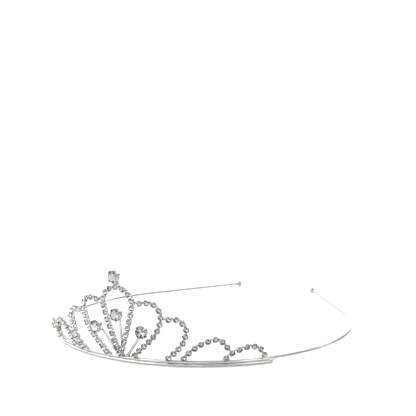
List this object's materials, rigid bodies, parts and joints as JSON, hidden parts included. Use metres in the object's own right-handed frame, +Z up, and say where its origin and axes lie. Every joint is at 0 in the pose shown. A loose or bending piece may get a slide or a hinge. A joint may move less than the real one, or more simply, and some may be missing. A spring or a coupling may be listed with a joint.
{
  "type": "bridal tiara",
  "caption": "Wedding tiara: a comb of rhinestone petals with large claw-set stones, soldered along base rails to a springy horseshoe headband wire with ball tips.",
  "frame": {"origin": "bottom centre of the bounding box, on the plane that the tiara stands on", "axes": "+Z up, from the base rails to the top stone; -Y towards the front of the tiara; +X to the tiara's right-hand petals as seen from the front; the tiara is symmetric about X = 0"},
  "size_m": [0.1482, 0.1855, 0.0394],
  "materials": {
    "plated_headband": "bright silver plating on spring wire, faint drawing marks",
    "plated_frame_wire": "bright silver plating on soft wire",
    "plated_setting": "bright silver plating on stamped cups with bent prongs",
    "solder": "satin silver solder under plating",
    "clear_crystal": "polished facets with a foiled back"
  },
  "bodies": {
    "root": {"headband_wire": "plated_headband", "tip_ball_right": "plated_headband", "tip_ball_left": "plated_headband", "lower_rail": "plated_frame_wire", "upper_rail": "plated_frame_wire", "rail_joint_right": "solder", "rail_joint_left": "solder", "center_petal_wire": "plated_frame_wire", "center_petal_cups": "plated_setting", "center_petal_stones": "clear_crystal", "inner_petal_right_wire": "plated_frame_wire", "inner_petal_right_cups": "plated_setting", "inner_petal_right_stones": "clear_crystal", "inner_petal_left_wire": "plated_frame_wire", "inner_petal_left_cups": "plated_setting", "inner_petal_left_stones": "clear_crystal", "second_petal_right_wire": "plated_frame_wire", "second_petal_right_cups": "plated_setting", "second_petal_right_stones": "clear_crystal", "second_petal_left_wire": "plated_frame_wire", "second_petal_left_cups": "plated_setting", "second_petal_left_stones": "clear_crystal", "third_petal_right_wire": "plated_frame_wire", "third_petal_right_cups": "plated_setting", "third_petal_right_stones": "clear_crystal", "third_petal_left_wire": "plated_frame_wire", "third_petal_left_cups": "plated_setting", "third_petal_left_stones": "clear_crystal", "end_petal_right_wire": "plated_frame_wire", "end_petal_right_cups": "plated_setting", "end_petal_right_stones": "clear_crystal", "end_petal_left_wire": "plated_frame_wire", "end_petal_left_cups": "plated_setting", "end_petal_left_stones": "clear_crystal", "center_stem": "plated_frame_wire", "side_stem_right": "plated_frame_wire", "side_stem_left": "plated_frame_wire", "finial_post": "plated_frame_wire", "center_setting": "plated_setting", "side_setting_right": "plated_setting", "side_setting_left": "plated_setting", "finial_setting": "plated_setting", "center_large_stone": "clear_crystal", "side_large_stone_right": "clear_crystal", "side_large_stone_left": "clear_crystal", "finial_large_stone": "clear_crystal"}
  },
  "joints": []
}
